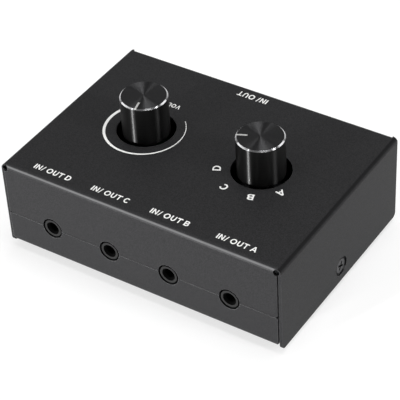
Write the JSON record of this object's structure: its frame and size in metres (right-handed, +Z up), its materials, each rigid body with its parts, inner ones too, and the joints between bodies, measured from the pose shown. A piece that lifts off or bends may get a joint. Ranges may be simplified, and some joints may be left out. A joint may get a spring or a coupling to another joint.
{
  "type": "audio source selector",
  "caption": "Desktop audio source selector: folded steel case with jack sockets front and back, a volume dial and a rotary selector dial.",
  "frame": {"origin": "middle of the footprint, on the surface that the feet stand on", "axes": "+X to the right along the front, +Y from the front sockets to the back socket, +Z up along both dials' axes"},
  "size_m": [0.1, 0.0716, 0.046],
  "materials": {
    "case_coat": "fine-textured black powder coat",
    "black_steel": "black zinc, satin",
    "rubber_foot": "matte",
    "plated_steel": "zinc plated",
    "glass_fibre_board": "green solder mask",
    "black_plastic": "moulded, satin",
    "contact_brass": "bright",
    "phenolic_wafer": "punched phenolic",
    "grey_plastic": "moulded, satin",
    "anodised_knob": "turned, black anodised, bright cut rim",
    "white_line": "white paint fill"
  },
  "bodies": {
    "case": {"top_cover": "case_coat", "bottom_tray": "case_coat", "cover_screws": "black_steel", "foot_front_left": "rubber_foot", "foot_front_right": "rubber_foot", "foot_back_left": "rubber_foot", "foot_back_right": "rubber_foot", "board_standoffs": "plated_steel", "board_screws": "plated_steel", "circuit_board": "glass_fibre_board", "jack_a_housing": "black_plastic", "jack_b_housing": "black_plastic", "jack_c_housing": "black_plastic", "jack_d_housing": "black_plastic", "jack_main_housing": "black_plastic", "jack_a_sleeve_contact": "contact_brass", "jack_a_ring_contact": "contact_brass", "jack_a_tip_contact": "contact_brass", "jack_b_sleeve_contact": "contact_brass", "jack_b_ring_contact": "contact_brass", "jack_b_tip_contact": "contact_brass", "jack_c_sleeve_contact": "contact_brass", "jack_c_ring_contact": "contact_brass", "jack_c_tip_contact": "contact_brass", "jack_d_sleeve_contact": "contact_brass", "jack_d_ring_contact": "contact_brass", "jack_d_tip_contact": "contact_brass", "jack_main_sleeve_contact": "contact_brass", "jack_main_ring_contact": "contact_brass", "jack_main_tip_contact": "contact_brass", "volume_lower_deck": "grey_plastic", "volume_upper_deck": "grey_plastic", "volume_wafers": "phenolic_wafer", "volume_terminals": "contact_brass", "volume_bracket": "plated_steel", "volume_bushing": "contact_brass", "selector_lower_deck": "grey_plastic", "selector_upper_deck": "grey_plastic", "selector_wafers": "phenolic_wafer", "selector_terminals": "contact_brass", "selector_detent_housing": "plated_steel", "selector_detent_spring": "plated_steel", "selector_bracket": "plated_steel", "selector_bushing": "contact_brass"},
    "volume_dial": {"volume_lower_rotor": "black_plastic", "volume_upper_rotor": "black_plastic", "volume_brushes": "contact_brass", "volume_shaft": "plated_steel", "volume_knob_insert": "black_plastic", "volume_knob": "anodised_knob", "volume_pointer": "white_line"},
    "selector_dial": {"selector_lower_rotor": "black_plastic", "selector_upper_rotor": "black_plastic", "selector_blades": "contact_brass", "selector_detent_wheel": "black_plastic", "selector_shaft": "plated_steel", "selector_knob_insert": "black_plastic", "selector_knob": "anodised_knob", "selector_pointer": "white_line"}
  },
  "joints": [
    {"name": "volume_turn", "type": "hinge", "parent": "case", "child": "volume_dial", "pos_m": [-0.0206, 0.0013, 0.033], "axis": [0, 0, 1], "range_deg": [-153, 127]},
    {"name": "selector_turn", "type": "hinge", "parent": "case", "child": "selector_dial", "pos_m": [0.0215, 0.0013, 0.033], "axis": [0, 0, 1], "range_deg": [0, 120]}
  ]
}
